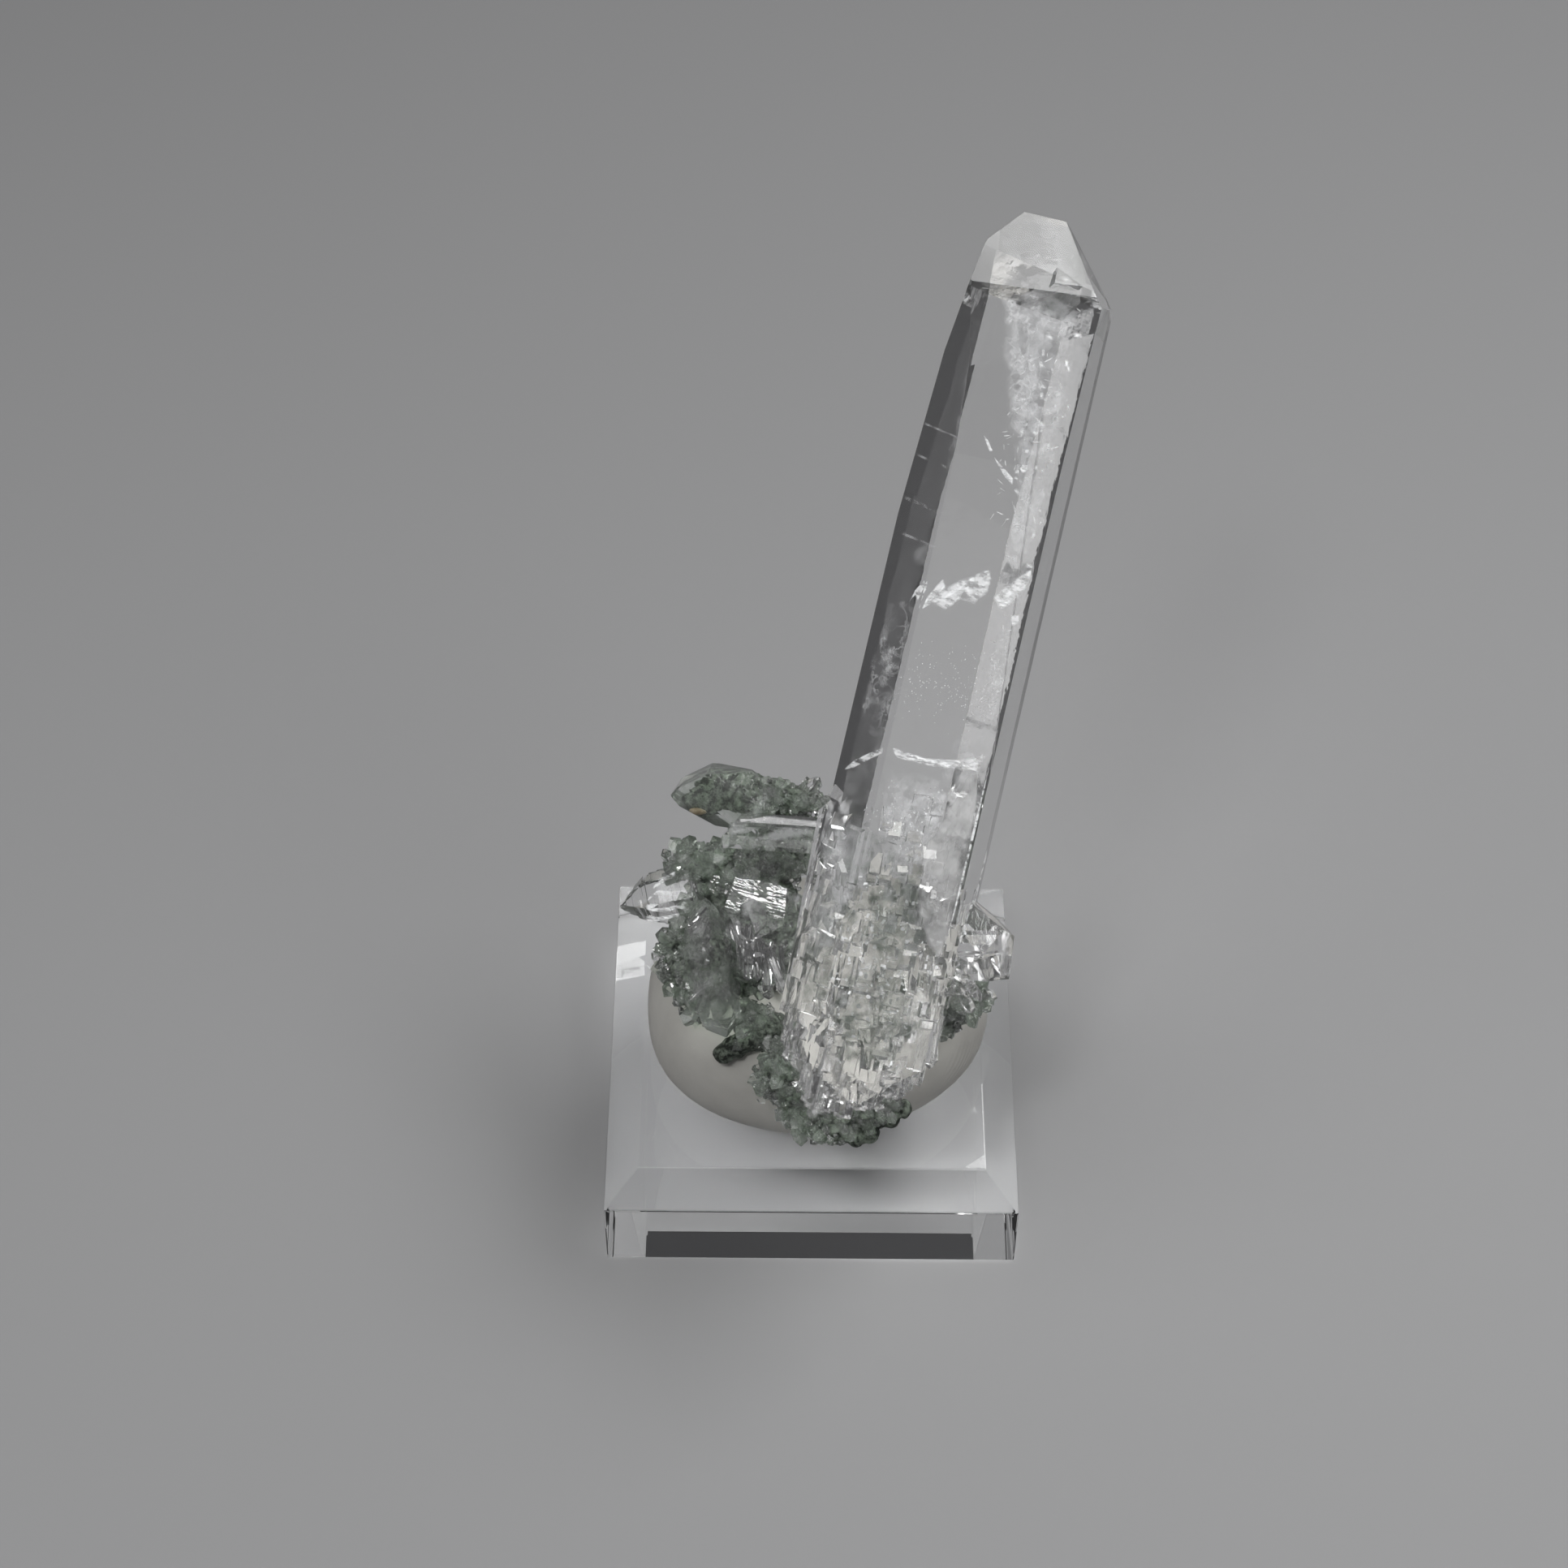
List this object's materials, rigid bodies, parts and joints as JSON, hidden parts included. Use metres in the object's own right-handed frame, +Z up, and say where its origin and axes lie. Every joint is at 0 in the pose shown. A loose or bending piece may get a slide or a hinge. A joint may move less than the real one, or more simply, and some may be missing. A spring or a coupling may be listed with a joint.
{
  "type": "quartz crystal specimen on a display base",
  "caption": "Long clear quartz point with an etched root, small side crystals and green chlorite druse, leaning out of putty on a bevelled clear block.",
  "frame": {"origin": "centre of the display block's underside, on the surface that it stands on", "axes": "+Z up, +X to the right and +Y away from a viewer who faces the specimen"},
  "size_m": [0.0407, 0.0512, 0.0754],
  "materials": {
    "clear_acrylic": "clear cast acrylic, polished",
    "mineral_putty": "off-white mounting putty, smooth with faint finger ridges",
    "clear_quartz": "clear rock crystal, bright flat faces, etched and milky towards the root",
    "chlorite_quartz": "small glassy quartz crystals dusted and filled with dark green chlorite"
  },
  "bodies": {
    "root": {"display_base": "clear_acrylic", "mounting_putty": "mineral_putty", "quartz_crystals": "clear_quartz", "left_point": "clear_quartz", "chlorite_crystals_left": "chlorite_quartz", "chlorite_crystals_right": "chlorite_quartz"}
  },
  "joints": []
}
